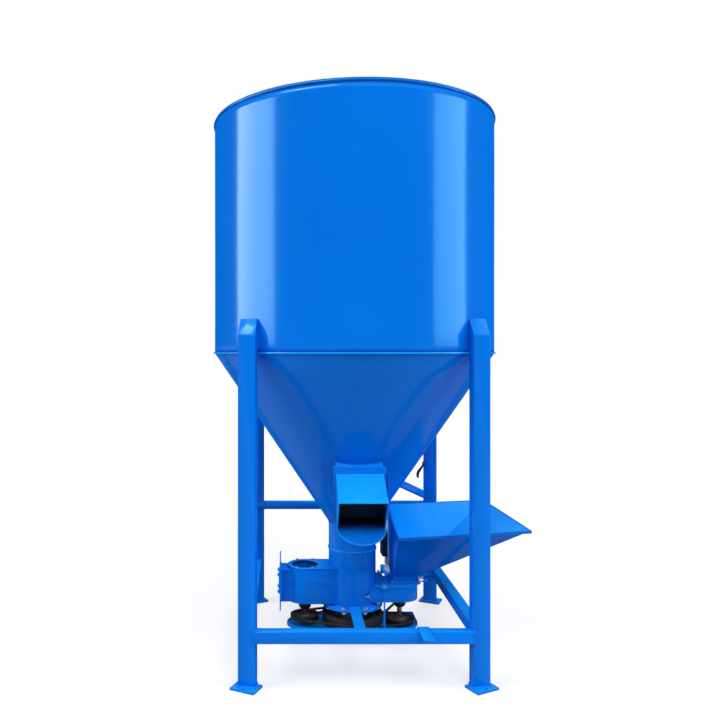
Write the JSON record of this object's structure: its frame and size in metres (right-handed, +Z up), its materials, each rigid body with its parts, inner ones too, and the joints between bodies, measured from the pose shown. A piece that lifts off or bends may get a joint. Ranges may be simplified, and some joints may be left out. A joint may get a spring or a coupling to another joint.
{
  "type": "vertical feed mixer",
  "caption": "Vertical feed mixer: a round drum on a cone and four legs, with a lift auger, side rotor housings, an intake hopper, a discharge spout and a belt drive.",
  "frame": {"origin": "floor level under the drum's axis, at the middle of the four anchor holes", "axes": "+Z up along the drum's axis, -Y towards the discharge spout, +X towards the intake hopper"},
  "size_m": [1.2062, 1.1096, 2.175],
  "materials": {
    "blue_paint": "gloss",
    "blue_trim": "gloss",
    "dark_edge": "satin",
    "zinc_steel": "satin",
    "shaft_steel": "polished",
    "mill_steel": "satin",
    "black_iron": "rough",
    "belt_rubber": "matte",
    "motor_grey": "satin",
    "navy_box": "satin"
  },
  "bodies": {
    "root": {"drum_shell": "blue_paint", "rim_bead": "dark_edge", "seam_rings": "blue_trim", "cone_shell": "blue_paint", "neck_tube": "blue_paint", "base_flange": "blue_paint", "base_plate": "blue_paint", "flange_bolts": "zinc_steel", "lower_bearing": "black_iron", "drum_lid": "blue_paint", "lid_bridge": "blue_paint", "top_bearing": "black_iron", "hatch_collar": "blue_paint", "hatch_hinge_pin": "zinc_steel", "lift_tube": "mill_steel", "lift_tube_stays": "mill_steel", "spout_collar": "blue_paint", "gate_frame": "blue_paint", "spout_chute": "blue_trim", "left_housing": "blue_paint", "left_top_plate": "blue_paint", "left_flange": "blue_paint", "left_cover": "blue_trim", "left_bearing": "black_iron", "left_belt": "belt_rubber", "right_housing": "blue_paint", "right_top_plate": "blue_paint", "right_bearing": "black_iron", "right_belt": "belt_rubber", "hopper_shell": "blue_paint", "hopper_rim": "dark_edge", "hopper_collar": "blue_paint", "motor_body": "motor_grey", "motor_cowl": "motor_grey", "terminal_box": "navy_box", "motor_belt": "belt_rubber", "motor_plate": "blue_paint", "belt_tray": "blue_paint", "tray_hangers": "zinc_steel", "legs": "blue_paint", "leg_pads": "blue_paint", "foot_plates": "blue_paint", "beams": "blue_paint", "straps": "blue_paint", "cone_stay": "blue_paint", "housing_bolts": "zinc_steel"},
    "auger": {"auger_shaft": "shaft_steel", "auger_flight": "mill_steel", "centre_pulley": "black_iron"},
    "left_rotor": {"left_shaft": "shaft_steel", "left_impeller": "mill_steel", "left_pulley": "black_iron"},
    "right_rotor": {"right_shaft": "shaft_steel", "right_impeller": "mill_steel", "right_pulley": "black_iron"},
    "motor_rotor": {"motor_rotor_shaft": "shaft_steel", "motor_pulley": "black_iron"},
    "discharge_slide": {"discharge_gate": "blue_paint"},
    "intake_slide": {"intake_gate": "blue_trim"},
    "hatch": {"hatch_door": "blue_paint"}
  },
  "joints": [
    {"name": "auger_spin", "type": "hinge", "parent": "root", "child": "auger", "pos_m": [0, 0, 1.1], "axis": [0, 0, 1], "continuous": true},
    {"name": "left_rotor_spin", "type": "hinge", "parent": "root", "child": "left_rotor", "pos_m": [-0.19, 0, 0.18], "axis": [0, 0, 1], "continuous": true},
    {"name": "right_rotor_spin", "type": "hinge", "parent": "root", "child": "right_rotor", "pos_m": [0.19, 0, 0.15], "axis": [0, 0, 1], "continuous": true},
    {"name": "motor_spin", "type": "hinge", "parent": "root", "child": "motor_rotor", "pos_m": [0.256, 0.33, 0.25], "axis": [0, 0, 1], "continuous": true},
    {"name": "discharge_gate_slide", "type": "slide", "parent": "root", "child": "discharge_slide", "axis": [1, 0, 0], "range_m": [0, 0.165]},
    {"name": "intake_gate_slide", "type": "slide", "parent": "root", "child": "intake_slide", "axis": [1, 0, 0], "range_m": [0, 0.09]},
    {"name": "hatch_hinge", "type": "hinge", "parent": "root", "child": "hatch", "pos_m": [0, 0.114, 2.139], "axis": [1, 0, 0], "range_deg": [0, 100]}
  ],
  "couplings": [
    {"joint": "left_rotor_spin", "follows": "auger_spin", "ratio": 2.1376},
    {"joint": "right_rotor_spin", "follows": "auger_spin", "ratio": 2.1376},
    {"joint": "motor_spin", "follows": "auger_spin", "ratio": 2.8072}
  ]
}
